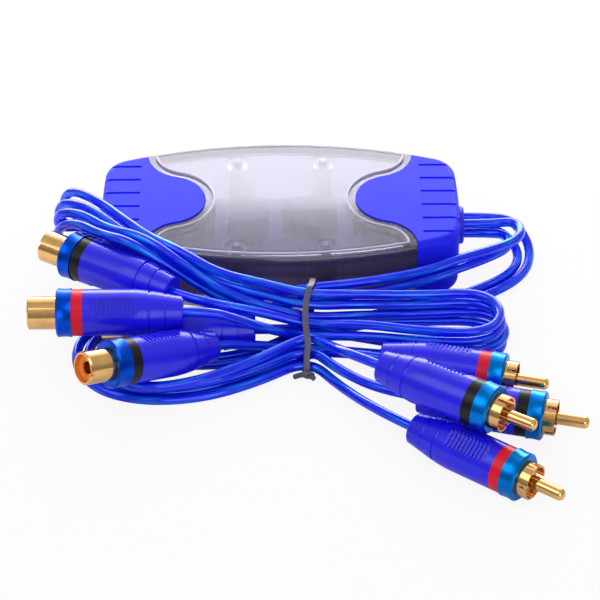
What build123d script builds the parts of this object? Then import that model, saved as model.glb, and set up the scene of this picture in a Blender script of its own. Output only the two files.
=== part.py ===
from build123d import *
from math import atan2, cos, degrees, pi, radians, sin, tan
import os

os.makedirs("parts", exist_ok=True)

# Four channel ground loop isolator, millimetres.
# The box stands on Z = 0 with its long side along X, and the camera side is -Y.

# Box
box_length = 98.0
box_width = 54.0
box_height = 18.5
side_radius = 137.0
end_bulge = 0.8
corner_radius = 8.0
top_round = 2.0
foot_round = 1.4
parting_drop = 3.0
ridge_height = 0.5
ridge_inset = 2.4

# Walls and clearances
cap_wall = 1.6
cap_clearance = 0.1
shell_wall = 1.7
lip_depth = 1.2
lip_wall = 1.2
slide_clearance = 0.15

# End caps
cap_arc_radius = 10.8
cap_tip = 20.6
cap_shoulder = 36.8
groove_width = 0.9
groove_depth = 0.5
groove_pitch = 6.2
groove_start = 38.5
top_groove_rows = (-2.5, -1.5, -0.5, 0.5, 1.5, 2.5)
end_groove_rows = (-1.5, 1.5)

# Leads and grommets
lead_diameter = 2.6
lead_pitch = 3.2
lead_height = 9.0
grommet_radius = 4.2
grommet_flange_radius = 5.2
grommet_flange = 1.5
grommet_clearance = 0.1
grommet_tail = 1.0
grommet_edge = 0.4

# Board and transformers
board_end_gap = 15.0
board_side_gap = 11.5
board_thickness = 1.2
board_corner = 2.0
post_radius = 2.2
post_height = 1.0
post_inset_x = 4.0
post_inset_y = 3.5
core_width = 15.0
core_depth = 5.0
core_leg = 3.0
core_window = 3.2
core_headroom = 0.5
coil_overhang = 3.2
core_shares = (-0.375, -0.132, 0.118, 0.375)
core_turns = (0, 90, 0, 90)
seat_clearance = 0.1
hookup_radius = 0.7
hookup_run = 3.0
hookup_rise = 4.0
pad_inset = 1.5
pad_rows = (8.5, 4.5, -8.5, -4.5)

# Screws
screw_x = 12.0
screw_wall_gap = 7.4
screw_radius = 1.2
screw_head_radius = 2.3
screw_head_height = 1.4
screw_end_gap = 0.55
boss_radius = 3.0
boss_clearance = 0.15
lid_boss_hole_depth = 1.6

# Connector bodies, measured along their axis from the rear of the boot
boot_length = 26.0
boot_radius = 6.1
boot_neck_radius = 4.15
boot_taper = 14.0
boot_edge = 0.3
neck_groove_width = 0.7
neck_groove_depth = 0.4
neck_grooves = (4.2, 8.4)
grip_centre = 17.6
grip_length = 12.4
grip_width = 7.8
grip_depth = 0.35
rib_count = 10
rib_pitch = 1.08
rib_gap = 0.5
rib_depth = 0.75
rib_inset = 1.3
band_width = 3.0
collar_width = 4.0
collar_radius = 6.4
collar_edge = 0.5
collar_waist = 0.15
stem_radius = 3.4
stem_clearance = 0.1
stem_sunk = 12.0
barrel_radius = 4.35
barrel_edge = 0.3
barrel_floor = 1.0
barrel_wall = 0.7
barrel_length = 7.5
insulator_recess = 1.2
contact_radius = 1.7
contact_wall = 0.3
contact_set_back = 0.3
contact_foot = 0.4
plug_ring_radius = 4.65
plug_ring_wall = 0.5
plug_ring_length = 3.0
plug_slot = 0.7
pin_radius = 1.6
pin_length = 8.5
pin_root = 4.0
pin_sleeve = 0.8
plug_floor = 0.6

# Tie
tie_width = 1.6
tie_thickness = 0.7
tie_clearance = 0.35
tie_station = 7.0
tail_radius = 0.7
tail_height = 1.3
tail_leans = ((-1.0, -0.75, 0.25), (0.6, -0.8, 0.05))
tail_lengths = (4.2, 3.0)

half_length = box_length / 2
half_width = box_width / 2
board_length = box_length - 2 * board_end_gap
board_width = box_width - 2 * board_side_gap
lid_bottom = box_height - parting_drop
sleeve_gap = cap_wall + cap_clearance
inner_inset = sleeve_gap + shell_wall
floor_height = sleeve_gap + shell_wall
lead_radius = lead_diameter / 2


def box_outline():
    # The lens shaped plan: two long arcs, two nearly straight ends.
    end_side = half_width - (side_radius - (side_radius ** 2 - half_length ** 2) ** 0.5)
    corner_x = half_length - end_bulge
    with BuildSketch() as outline:
        with BuildLine():
            ThreePointArc((-corner_x, end_side), (0, half_width), (corner_x, end_side))
            ThreePointArc((corner_x, end_side), (half_length, 0), (corner_x, -end_side))
            ThreePointArc((corner_x, -end_side), (0, -half_width), (-corner_x, -end_side))
            ThreePointArc((-corner_x, -end_side), (-half_length, 0), (-corner_x, end_side))
        make_face()
        fillet(outline.vertices(), corner_radius)
    return outline.sketch


def cap_area():
    # Plan area of the right end cap: a round tongue that flows into two hollow shoulders.
    tip_centre = cap_tip + cap_arc_radius
    hollow_x = cap_shoulder - cap_arc_radius
    hollow_y = ((2 * cap_arc_radius) ** 2 - (tip_centre - hollow_x) ** 2) ** 0.5
    lean = degrees(atan2(hollow_y, tip_centre - hollow_x))
    reach = box_width
    with BuildSketch() as area:
        with BuildLine():
            CenterArc((tip_centre, 0), cap_arc_radius, 180 - lean, 2 * lean)
            CenterArc((hollow_x, hollow_y), cap_arc_radius, -lean, lean)
            CenterArc((hollow_x, -hollow_y), cap_arc_radius, 0, lean)
            Polyline(
                (cap_shoulder, hollow_y),
                (cap_shoulder, reach),
                (box_length, reach),
                (box_length, -reach),
                (cap_shoulder, -reach),
                (cap_shoulder, -hollow_y),
            )
        make_face()
    return area.sketch


outline = box_outline()
right_cap_area = cap_area()
left_cap_area = mirror(right_cap_area, about=Plane.YZ)
cap_areas = right_cap_area + left_cap_area
open_area = outline - offset(cap_areas, cap_clearance)

# Outer form of the closed box
with BuildPart() as outer_form:
    with BuildSketch():
        add(outline)
    extrude(amount=box_height)
    fillet(outer_form.faces().sort_by(Axis.Z)[-1].edges(), top_round)
    fillet(outer_form.faces().sort_by(Axis.Z)[0].edges(), foot_round)

# The narrower form that the end caps slide over
with BuildPart() as sleeve_form:
    with BuildSketch(Plane.XY.offset(sleeve_gap)):
        offset(outline, -sleeve_gap)
    extrude(amount=box_height - 2 * sleeve_gap)

with BuildPart() as cap_bore_form:
    with BuildSketch(Plane.XY.offset(cap_wall)):
        offset(outline, -cap_wall)
    extrude(amount=box_height - 2 * cap_wall)

with BuildPart() as open_form:
    with BuildSketch():
        add(open_area)
    extrude(amount=box_height)

shell_form = (outer_form.part & open_form.part) + sleeve_form.part
grommet_bore = grommet_radius + grommet_clearance
post_x = board_length / 2 - post_inset_x
post_y = board_width / 2 - post_inset_y
post_points = [(-post_x, -post_y), (post_x, -post_y), (-post_x, post_y), (post_x, post_y)]
screw_y = half_width - screw_wall_gap
screw_points = [
    (-screw_x, -screw_y),
    (screw_x, -screw_y),
    (-screw_x, screw_y),
    (screw_x, screw_y),
]
board_bottom = floor_height + post_height
screw_seat = screw_head_height + slide_clearance
lip_area = offset(outline, -inner_inset - slide_clearance)
lip_hollow = offset(outline, -inner_inset - slide_clearance - lip_wall)

with BuildPart() as lower_shell:
    add(shell_form)
    with BuildSketch(Plane.XY.offset(lid_bottom)):
        Rectangle(2 * box_length, 2 * box_width)
    extrude(amount=box_height, mode=Mode.SUBTRACT)
    with BuildSketch(Plane.XY.offset(floor_height)):
        offset(outline, -inner_inset)
    extrude(amount=box_height, mode=Mode.SUBTRACT)
    with BuildSketch(Plane.XY.offset(floor_height)):
        with Locations(*post_points):
            Circle(post_radius)
    extrude(amount=post_height)
    with BuildSketch(Plane.XY.offset(floor_height)):
        with Locations(*screw_points):
            Circle(boss_radius)
    extrude(amount=lid_bottom - lip_depth - slide_clearance - floor_height)
    with BuildSketch():
        with Locations(*screw_points):
            Circle(screw_radius + boss_clearance)
    extrude(amount=box_height, mode=Mode.SUBTRACT)
    with BuildSketch():
        with Locations(*screw_points):
            Circle(screw_head_radius + boss_clearance)
    extrude(amount=screw_seat, mode=Mode.SUBTRACT)
    with BuildSketch(Plane.YZ.offset(-box_length)):
        with Locations((0, lead_height)):
            Circle(grommet_bore)
    extrude(amount=2 * box_length, mode=Mode.SUBTRACT)
lower_shell.part.label = "lower_shell"
export_step(lower_shell.part, "parts/lower_shell.step")

with BuildPart() as upper_shell:
    add(shell_form)
    with BuildSketch():
        Rectangle(2 * box_length, 2 * box_width)
    extrude(amount=lid_bottom, mode=Mode.SUBTRACT)
    # The frosted top stands a little proud inside a lit ridge line
    with BuildSketch(Plane.XY.offset(box_height)):
        Rectangle(2 * box_length, 2 * box_width)
        add(offset(outline, -ridge_inset) - offset(cap_areas, ridge_inset), mode=Mode.SUBTRACT)
    extrude(amount=-ridge_height, mode=Mode.SUBTRACT)
    with BuildSketch(Plane.XY.offset(lid_bottom)):
        add(lip_area)
        add(lip_hollow, mode=Mode.SUBTRACT)
    extrude(amount=-lip_depth)
    with BuildSketch(Plane.XY.offset(lid_bottom - lip_depth)):
        with Locations(*screw_points):
            Circle(boss_radius)
    extrude(amount=lip_depth)
    with BuildSketch(Plane.XY.offset(lid_bottom - lip_depth)):
        with Locations(*screw_points):
            Circle(screw_radius)
    extrude(amount=lip_depth + lid_boss_hole_depth, mode=Mode.SUBTRACT)
upper_shell.part.label = "upper_shell"
export_step(upper_shell.part, "parts/upper_shell.step")

with BuildPart() as cap_form:
    add(outer_form.part)
    with BuildSketch():
        add(right_cap_area)
    extrude(amount=box_height, mode=Mode.INTERSECT)
    add(cap_bore_form.part, mode=Mode.SUBTRACT)
    with BuildSketch(Plane.YZ):
        with Locations((0, lead_height)):
            Circle(grommet_bore)
    extrude(amount=box_length, mode=Mode.SUBTRACT)
    # Round ended grip grooves run over the top edge and down the end
    with BuildSketch(Plane.XY.offset(box_height - groove_depth)):
        with Locations(*[(groove_start + half_length, row * groove_pitch) for row in top_groove_rows]):
            SlotOverall(box_length, groove_width)
    extrude(amount=2 * groove_depth, mode=Mode.SUBTRACT)
    end_groove_x = half_length - end_bulge / 2 - groove_depth + corner_radius / 2
    with BuildSketch(Plane.XY.offset(lead_height)):
        with Locations(*[(end_groove_x, row * groove_pitch) for row in end_groove_rows]):
            Rectangle(corner_radius, groove_width)
    extrude(amount=box_height, mode=Mode.SUBTRACT)

for node, turn in (("output_end_cap", 0), ("input_end_cap", 180)):
    with BuildPart() as end_cap:
        add(cap_form.part, rotation=(0, 0, turn))
    end_cap.part.label = node
    export_step(end_cap.part, "parts/" + node + ".step")

grommet_inner = half_length - inner_inset - grommet_tail
for node, side in (("output_grommet", 1), ("input_grommet", -1)):
    start = Plane(origin=(side * grommet_inner, 0, lead_height), z_dir=(side, 0, 0))
    stop = Plane(origin=(side * half_length, 0, lead_height), z_dir=(side, 0, 0))
    with BuildPart() as grommet:
        with BuildSketch(start):
            Circle(grommet_radius)
        extrude(amount=half_length - grommet_inner + grommet_flange)
        with BuildSketch(stop.offset(slide_clearance)):
            Circle(grommet_flange_radius)
        extrude(amount=grommet_flange - slide_clearance)
        chamfer(grommet.faces().sort_by(Axis.X)[-1 if side > 0 else 0].edges(), grommet_edge)
    grommet.part.label = node
    export_step(grommet.part, "parts/" + node + ".step")

# Circuit board on four posts, with a hole over each post
with BuildPart() as circuit_board:
    with BuildSketch(Plane.XY.offset(board_bottom)):
        RectangleRounded(board_length, board_width, board_corner)
        with Locations(*post_points):
            Circle(post_radius / 2, mode=Mode.SUBTRACT)
    extrude(amount=board_thickness)
circuit_board.part.label = "circuit_board"
export_step(circuit_board.part, "parts/circuit_board.step")

board_top = board_bottom + board_thickness
core_height = lid_bottom - core_headroom - board_top
window_height = core_height - core_leg

# Four small audio transformers: a laminated frame with a wound bobbin on its middle leg
for number, (share, turn) in enumerate(zip(core_shares, core_turns), start=1):
    seat = Plane(origin=(share * board_length, 0, board_top)).rotated((0, 0, turn))
    face_on = Plane(
        origin=seat.origin + seat.y_dir * (core_depth / 2), x_dir=seat.x_dir, z_dir=-seat.y_dir
    )
    window_x = core_leg / 2 + core_window / 2
    window_z = core_height / 2
    with BuildPart() as core:
        with BuildSketch(face_on):
            with Locations((0, window_z)):
                Rectangle(core_width, core_height)
            with Locations((-window_x, window_z), (window_x, window_z)):
                Rectangle(core_window, window_height, mode=Mode.SUBTRACT)
        extrude(amount=core_depth)
    node = "transformer_core_" + str(number)
    core.part.label = node
    export_step(core.part, "parts/" + node + ".step")

    coil_width = core_leg + 2 * core_window - 2 * seat_clearance
    with BuildPart() as coil:
        with BuildSketch(seat.offset(window_z - window_height / 2 + seat_clearance)):
            RectangleRounded(coil_width, core_depth + 2 * coil_overhang, coil_overhang / 2)
            Rectangle(
                core_leg + 2 * seat_clearance, core_depth + 2 * seat_clearance, mode=Mode.SUBTRACT
            )
        extrude(amount=window_height - 2 * seat_clearance)
    node = "transformer_coil_" + str(number)
    coil.part.label = node
    export_step(coil.part, "parts/" + node + ".step")

# Four screws from below hold the two shells together
screw_length = lid_bottom + lid_boss_hole_depth - screw_end_gap - slide_clearance - screw_head_height
with BuildPart() as housing_screws:
    with BuildSketch(Plane.XY.offset(slide_clearance)):
        with Locations(*screw_points):
            Circle(screw_head_radius)
    extrude(amount=screw_head_height)
    with BuildSketch(Plane.XY.offset(slide_clearance + screw_head_height)):
        with Locations(*screw_points):
            Circle(screw_radius - boss_clearance / 2)
    extrude(amount=screw_length)
housing_screws.part.label = "housing_screws"
export_step(housing_screws.part, "parts/housing_screws.step")


def tangent_radii(points):
    # Each arc is as large as its two runs allow.
    radii = []
    for before, here, after in zip(points, points[1:], points[2:]):
        first = Vector(*here) - Vector(*before)
        second = Vector(*after) - Vector(*here)
        turn = radians(first.get_angle(second))
        radii.append(0.45 * min(first.length, second.length) / tan(turn / 2))
    return radii


def lead_path(points):
    with BuildLine() as path:
        FilletPolyline(*points, radius=tangent_radii(points))
    return path.wires()[0]


# Short hook-up wires join each grommet to the board
lead_offsets = (
    (lead_pitch / 2, lead_pitch / 2),
    (lead_pitch / 2, -lead_pitch / 2),
    (-lead_pitch / 2, lead_pitch / 2),
    (-lead_pitch / 2, -lead_pitch / 2),
)
pad_x = board_length / 2 - pad_inset
with BuildPart() as hookup_wires:
    for side in (-1, 1):
        for (offset_y, offset_z), pad_y in zip(lead_offsets, pad_rows):
            start = (side * grommet_inner, offset_y, lead_height + offset_z)
            bend = (side * (grommet_inner - hookup_run), offset_y, lead_height + offset_z)
            over = (side * pad_x, pad_y, board_top + hookup_rise)
            foot = (side * pad_x, pad_y, board_top)
            route = lead_path((start, bend, over, foot))
            with BuildSketch(Plane(origin=start, z_dir=(-side, 0, 0))):
                Circle(hookup_radius)
            sweep(path=route)
hookup_wires.part.label = "hookup_wires"
export_step(hookup_wires.part, "parts/hookup_wires.step")

# Leads: round jackets folded into loops and gathered in the tie in front of the box.
# Each route is a list of points chosen by hand, from the box to its connector.
input_routes = {
    "input_lead_1": (
        (-50.5, 1.6, 10.6), (-55.5, 1.6, 10.6), (-60.5, 3.8, 14.0), (-57.8, 2.8, 20.2),
        (-50.0, -4.6, 21.6), (-42.6, -13.0, 21.4), (-35.5, -21.2, 21.4), (-27.6, -26.4, 21.0),
        (-17.0, -31.6, 17.0), (-6.0, -34.0, 15.7), (7.0, -36.7, 13.6), (20.0, -36.2, 13.2),
        (36.0, -33.6, 10.7), (54.0, -32.3, 10.5), (59.0, -41.0, 10.4), (54.0, -49.7, 10.4),
        (37.0, -48.6, 10.3), (21.0, -44.6, 9.9), (7.0, -42.5, 8.0), (-5.0, -42.3, 12.0),
        (-16.0, -42.6, 14.9), (-23.75, -41.02, 15.84), (-28.9, -37.9, 15.8),
    ),
    "input_lead_2": (
        (-50.5, 1.6, 7.4), (-56.0, 1.6, 7.4), (-61.6, -0.4, 12.0), (-60.0, -1.6, 19.2),
        (-52.6, -7.6, 21.6), (-44.8, -15.6, 21.2), (-36.9, -24.0, 19.8), (-27.8, -26.3, 17.9),
        (-17.0, -31.6, 13.8), (-6.0, -35.2, 12.8), (7.0, -38.1, 10.8), (20.0, -37.0, 10.4),
        (36.0, -33.8, 7.6), (54.5, -32.6, 7.6), (59.5, -41.2, 7.5), (54.5, -49.9, 7.4),
        (37.0, -49.0, 7.3), (21.0, -46.4, 7.2), (7.0, -43.9, 5.2), (-2.5, -45.6, 8.5),
        (-11.0, -48.0, 14.0), (-18.5, -49.0, 17.7), (-25.7, -49.0, 17.7),
    ),
    "input_lead_3": (
        (-50.5, -1.6, 10.6), (-55.5, -1.6, 10.6), (-61.0, -5.4, 13.0), (-60.6, -7.2, 19.4),
        (-54.4, -10.6, 21.8), (-46.6, -18.0, 21.8), (-37.2, -24.2, 24.0), (-28.2, -29.2, 20.2),
        (-17.0, -34.8, 14.2), (-6.0, -38.0, 11.2), (7.0, -39.6, 8.0), (20.0, -38.2, 7.6),
        (36.0, -34.2, 4.7), (55.5, -32.9, 4.7), (60.5, -41.6, 4.6), (55.5, -50.2, 4.5),
        (38.0, -48.6, 4.5), (21.0, -44.2, 4.8), (7.0, -41.0, 5.2), (-1.5, -42.5, 6.5),
        (-7.0, -42.5, 6.5),
    ),
    "input_lead_4": (
        (-50.5, -1.6, 7.4), (-55.0, -1.6, 7.4), (-60.4, -8.4, 9.8), (-61.0, -10.8, 16.4),
        (-56.2, -13.6, 21.2), (-48.4, -20.6, 22.0), (-40.4, -26.8, 24.3), (-29.6, -28.6, 16.9),
        (-18.0, -33.4, 10.9), (-8.0, -36.4, 8.4), (7.0, -38.1, 5.2), (20.0, -37.2, 4.7),
        (34.0, -34.2, 2.2), (55.0, -33.2, 1.6), (60.0, -41.8, 1.6), (55.0, -50.4, 1.6),
        (38.0, -49.0, 1.6), (21.0, -47.0, 1.9), (7.0, -45.4, 2.4), (-2.5, -47.6, 4.8),
        (-14.72, -50.16, 7.8), (-18.3, -52.6, 9.0),
    ),
}
output_routes = {
    "output_lead_1": (
        (50.5, -1.6, 7.4), (56.0, -1.6, 7.4), (62.4, -3.6, 8.4), (62.6, -10.4, 9.0),
        (56.5, -15.4, 9.2), (48.0, -20.4, 9.4), (37.0, -27.0, 9.9), (22.0, -32.6, 10.4),
        (7.0, -35.2, 10.8), (-6.0, -33.6, 5.8), (-17.0, -32.7, 2.3), (-30.0, -32.3, 1.6),
        (-43.0, -33.3, 1.6), (-50.5, -40.3, 1.6), (-51.8, -50.0, 1.6), (-46.4, -59.0, 1.6),
        (-35.0, -62.9, 1.6), (-21.0, -61.8, 1.6), (-7.0, -55.4, 1.9), (7.0, -47.4, 2.4),
        (18.3, -52.74, 6.5), (26.0, -54.8, 6.5),
    ),
    "output_lead_2": (
        (50.5, 1.6, 10.6), (56.5, 1.6, 10.6), (64.8, 4.6, 7.4), (69.5, -2.5, 3.0),
        (67.4, -12.5, 1.7), (59.0, -20.6, 1.6), (47.5, -26.4, 1.6), (36.0, -30.0, 1.6),
        (22.0, -35.2, 1.8), (7.0, -40.1, 2.6), (-5.5, -48.5, 1.6), (-20.0, -52.1, 1.6),
        (-37.0, -51.8, 3.6), (-43.5, -59.2, 7.5), (-37.0, -68.0, 7.4), (-22.0, -65.2, 7.4),
        (-7.0, -57.0, 7.7), (7.0, -46.8, 8.0), (11.6, -56.0, 12.0), (17.7, -67.64, 18.2),
        (25.3, -72.5, 18.2),
    ),
    "output_lead_3": (
        (50.5, 1.6, 7.4), (56.0, 1.6, 7.4), (62.8, 1.6, 4.6), (66.2, -4.6, 2.2),
        (63.8, -12.0, 1.6), (56.5, -18.0, 1.6), (46.5, -23.4, 1.6), (35.0, -27.4, 1.6),
        (22.0, -31.6, 1.8), (7.0, -36.2, 2.4), (-4.0, -44.7, 1.6), (-20.0, -49.4, 1.6),
        (-40.0, -48.8, 1.6), (-46.0, -56.5, 4.4), (-40.0, -64.8, 4.4), (-24.0, -63.8, 4.6),
        (-8.0, -57.6, 4.8), (7.0, -48.4, 5.2), (15.0, -58.0, 4.8), (25.8, -68.2, 6.5),
        (35.0, -70.6, 6.5),
    ),
    "output_lead_4": (
        (50.5, -1.6, 10.6), (57.5, -1.6, 10.6), (65.4, -2.2, 11.8), (66.0, -10.0, 12.2),
        (59.0, -15.2, 12.3), (49.5, -19.4, 12.5), (37.5, -26.4, 12.9), (22.0, -31.4, 13.4),
        (7.0, -33.8, 13.6), (-6.0, -31.2, 9.0), (-17.0, -29.8, 3.0), (-30.0, -29.4, 1.6),
        (-44.5, -30.4, 1.6), (-53.6, -39.0, 1.6), (-54.9, -51.0, 1.6), (-48.2, -61.6, 1.6),
        (-36.0, -66.0, 1.6), (-21.0, -64.9, 1.6), (-7.0, -59.2, 1.9), (7.0, -50.3, 2.4),
        (15.0, -60.8, 1.8), (25.0, -76.8, 6.5), (33.4, -83.0, 6.5),
    ),
}

for routes, side in ((input_routes, -1), (output_routes, 1)):
    for node, points in routes.items():
        route = lead_path(points)
        with BuildPart() as lead:
            with BuildSketch(Plane(origin=points[0], z_dir=(side, 0, 0))):
                Circle(lead_radius)
            sweep(path=route)
        lead.part.label = node
        export_step(lead.part, "parts/" + node + ".step")
        section = pi * lead_radius ** 2
        ratio = lead.part.volume / (section * route.length)
        radii = tangent_radii(points)
        print(node, "length", round(route.length, 1), "volume ratio", round(ratio, 4))
        print("  smallest radii", [round(r, 1) for r in sorted(radii)[:5]])

# Connectors: four sockets on the input leads and four plugs on the output leads.
# Each place gives the rear centre of the boot, a point that its axis aims at, and its roll.
connector_places = (
    ("jack_1", (-28.9, -37.9, 15.8), (-63.8, -16.6, 15.5), 40),
    ("jack_2", (-25.7, -49.0, 17.7), (-66.2, -49.0, 17.7), -42),
    ("jack_3", (-7.0, -42.5, 6.5), (-47.5, -42.5, 6.5), -30),
    ("jack_4", (-18.3, -52.6, 9.0), (-49.4, -73.8, 19.4), 12),
    ("plug_1", (26.0, -54.8, 6.5), (69.0, -66.3, 6.5), -20),
    ("plug_2", (25.3, -72.5, 18.2), (62.8, -96.5, 18.2), -35),
    ("plug_3", (35.0, -70.6, 6.5), (78.1, -81.8, 6.5), -25),
    ("plug_4", (33.4, -83.0, 6.5), (69.2, -109.4, 6.5), 30),
)
boot_cavity = boot_length - stem_sunk
band_start = boot_length
collar_start = band_start + band_width
barrel_start = collar_start + collar_width
band_plan = {"jack_1": "black", "jack_2": "red", "jack_3": "red", "jack_4": "black"}
band_plan.update({"plug_1": "red", "plug_2": "black", "plug_3": "black", "plug_4": "red"})


def rolled(seat, roll):
    # The same plane turned about its own axis
    across = seat.x_dir * cos(radians(roll)) + seat.y_dir * sin(radians(roll))
    return Plane(origin=seat.origin, x_dir=across, z_dir=seat.z_dir)


def connector_plane(rear, aim, roll):
    # Local Z runs along the connector. At no roll the grips face up and down.
    forward = (Vector(*aim) - Vector(*rear)).normalized()
    level = Vector(0, 0, 1).cross(forward).normalized()
    return rolled(Plane(origin=rear, x_dir=level, z_dir=forward), roll)


def section_plane(seat):
    # A sketch here is drawn as radius against distance from the rear.
    return Plane(origin=seat.origin, x_dir=seat.x_dir, z_dir=-seat.y_dir)


def spin_axis(seat):
    return Axis(seat.origin, seat.z_dir)


def make_boot(seat):
    # The skin widens evenly from the neck and turns level at the grip.
    taper_slope = (boot_radius - boot_neck_radius, boot_taper - boot_edge)
    with BuildPart() as boot:
        with BuildSketch(section_plane(seat)):
            with BuildLine():
                Polyline(
                    (0, 0),
                    (boot_neck_radius - boot_edge, 0),
                    (boot_neck_radius, boot_edge),
                )
                Spline(
                    (boot_neck_radius, boot_edge),
                    (boot_radius, boot_taper),
                    tangents=(taper_slope, (0, 1)),
                )
                Polyline(
                    (boot_radius, boot_taper),
                    (boot_radius, boot_length),
                    (stem_radius + stem_clearance, boot_length),
                    (stem_radius + stem_clearance, boot_cavity),
                    (0, boot_cavity),
                    (0, 0),
                )
            make_face()
        revolve(axis=spin_axis(seat))
        # Two ring grooves round the neck
        for start in neck_grooves:
            share = start / boot_taper
            skin = boot_neck_radius + share * (2 - share) * (boot_radius - boot_neck_radius)
            with BuildSketch(seat.offset(start)):
                Circle(2 * boot_radius)
                Circle(skin - neck_groove_depth, mode=Mode.SUBTRACT)
            extrude(amount=neck_groove_width, mode=Mode.SUBTRACT)
        # An oval grip with cross ribs on both sides
        for flip in (1, -1):
            face = Plane(
                origin=seat.origin + seat.z_dir * grip_centre + seat.y_dir * flip * boot_radius,
                x_dir=seat.z_dir,
                z_dir=seat.y_dir * flip,
            )
            with BuildSketch(face.offset(-grip_depth)):
                SlotOverall(grip_length, grip_width)
            extrude(amount=boot_radius, mode=Mode.SUBTRACT)
            with BuildSketch(face.offset(-rib_depth)):
                with GridLocations(rib_pitch, 1, rib_count, 1):
                    Rectangle(rib_gap, grip_width - 2 * rib_inset)
            extrude(amount=boot_radius, mode=Mode.SUBTRACT)
    return boot.part


def make_band(seat):
    with BuildPart() as band:
        with BuildSketch(seat.offset(band_start)):
            Circle(boot_radius)
            Circle(stem_radius + stem_clearance, mode=Mode.SUBTRACT)
        extrude(amount=band_width)
    return band.part


def make_collar(seat):
    # A turned ring with a rounded front edge and a shallow waist
    bore = stem_radius + stem_clearance
    middle = collar_start + collar_width / 2
    with BuildPart() as collar:
        with BuildSketch(section_plane(seat)):
            with BuildLine():
                Polyline(
                    (collar_radius, collar_start),
                    (bore, collar_start),
                    (bore, barrel_start),
                    (collar_radius - collar_edge, barrel_start),
                    (collar_radius, barrel_start - collar_edge),
                )
                ThreePointArc(
                    (collar_radius, barrel_start - collar_edge),
                    (collar_radius - collar_waist, middle),
                    (collar_radius, collar_start),
                )
            make_face()
        revolve(axis=spin_axis(seat))
    return collar.part


def make_socket_shell(seat):
    with BuildPart() as shell:
        with BuildSketch(section_plane(seat)):
            with BuildLine():
                Polyline(
                    (0, boot_cavity + stem_clearance),
                    (stem_radius, boot_cavity + stem_clearance),
                    (stem_radius, barrel_start + stem_clearance),
                    (barrel_radius, barrel_start + stem_clearance),
                    (barrel_radius, barrel_start + barrel_length - barrel_edge),
                    (barrel_radius - barrel_edge, barrel_start + barrel_length),
                    (barrel_radius - barrel_wall, barrel_start + barrel_length),
                    (barrel_radius - barrel_wall, barrel_start + stem_clearance + barrel_floor),
                    (0, barrel_start + stem_clearance + barrel_floor),
                    (0, boot_cavity + stem_clearance),
                )
            make_face()
        revolve(axis=spin_axis(seat))
        # A half round notch in the mouth of the barrel
        with BuildSketch(Plane(origin=seat.origin, x_dir=seat.z_dir, z_dir=seat.x_dir)):
            with Locations((barrel_start + barrel_length, 0)):
                Circle(plug_slot)
        extrude(amount=2 * barrel_radius, mode=Mode.SUBTRACT)
    return shell.part


def make_plug_shell(seat):
    sleeve_bore = pin_radius + pin_sleeve + stem_clearance
    ring_floor = barrel_start + stem_clearance + plug_floor
    with BuildPart() as shell:
        with BuildSketch(section_plane(seat)):
            with BuildLine():
                Polyline(
                    (sleeve_bore, boot_cavity + stem_clearance),
                    (stem_radius, boot_cavity + stem_clearance),
                    (stem_radius, barrel_start + stem_clearance),
                    (plug_ring_radius, barrel_start + stem_clearance),
                    (plug_ring_radius, barrel_start + plug_ring_length),
                    (plug_ring_radius - plug_ring_wall, barrel_start + plug_ring_length),
                    (plug_ring_radius - plug_ring_wall, ring_floor),
                    (sleeve_bore, ring_floor),
                    (sleeve_bore, boot_cavity + stem_clearance),
                )
            make_face()
        revolve(axis=spin_axis(seat))
        # Four slots split the ring into springy petals
        for turn in (45, 135):
            cut = rolled(seat, turn).offset(ring_floor)
            with BuildSketch(cut):
                Rectangle(3 * plug_ring_radius, plug_slot)
            extrude(amount=plug_ring_length, mode=Mode.SUBTRACT)
    return shell.part


def make_pin(seat):
    with BuildPart() as pin:
        with BuildSketch(seat.offset(barrel_start - pin_root)):
            Circle(pin_radius)
        extrude(amount=pin_root + plug_ring_length + pin_length)
        fillet(pin.faces().sort_by(spin_axis(seat))[-1].edges(), pin_radius * 0.8)
    return pin.part


def make_socket_insulator(seat):
    depth = barrel_length - stem_clearance - barrel_floor - insulator_recess
    with BuildPart() as insulator:
        with BuildSketch(seat.offset(barrel_start + stem_clearance + barrel_floor)):
            Circle(barrel_radius - barrel_wall - stem_clearance / 2)
        extrude(amount=depth)
        with BuildSketch(seat.offset(barrel_start + barrel_length - insulator_recess)):
            Circle(contact_radius + contact_wall + stem_clearance / 2)
        extrude(amount=-(depth - contact_foot), mode=Mode.SUBTRACT)
    return insulator.part


def make_contact(seat):
    depth = barrel_length - stem_clearance - barrel_floor - insulator_recess - contact_foot
    with BuildPart() as contact:
        with BuildSketch(seat.offset(barrel_start + barrel_length - insulator_recess - contact_set_back)):
            Circle(contact_radius + contact_wall)
            Circle(contact_radius, mode=Mode.SUBTRACT)
        extrude(amount=-(depth - contact_set_back))
    return contact.part


def make_plug_insulator(seat):
    with BuildPart() as insulator:
        with BuildSketch(seat.offset(barrel_start - pin_root)):
            Circle(pin_radius + pin_sleeve)
            Circle(pin_radius + stem_clearance / 2, mode=Mode.SUBTRACT)
        extrude(amount=pin_root + 2 * plug_floor)
    return insulator.part


def save(solid, node):
    solid.label = node
    export_step(solid, "parts/" + node + ".step")


bands = {"red": [], "black": []}
socket_insulators = []
socket_contacts = []
plug_insulators = []
for name, rear, aim, roll in connector_places:
    seat = connector_plane(rear, aim, roll)
    save(make_boot(seat), name + "_boot")
    save(make_collar(seat), name + "_collar")
    bands[band_plan[name]].append(make_band(seat))
    if name.startswith("jack"):
        save(make_socket_shell(seat), name + "_shell")
        socket_insulators.append(make_socket_insulator(seat))
        socket_contacts.append(make_contact(seat))
    else:
        save(make_plug_shell(seat), name + "_shell")
        save(make_pin(seat), name + "_pin")
        plug_insulators.append(make_plug_insulator(seat))

for node, solids in (
    ("red_bands", bands["red"]),
    ("black_bands", bands["black"]),
    ("jack_insulators", socket_insulators),
    ("jack_contacts", socket_contacts),
    ("plug_insulators", plug_insulators),
):
    save(Compound(children=solids), node)

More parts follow.
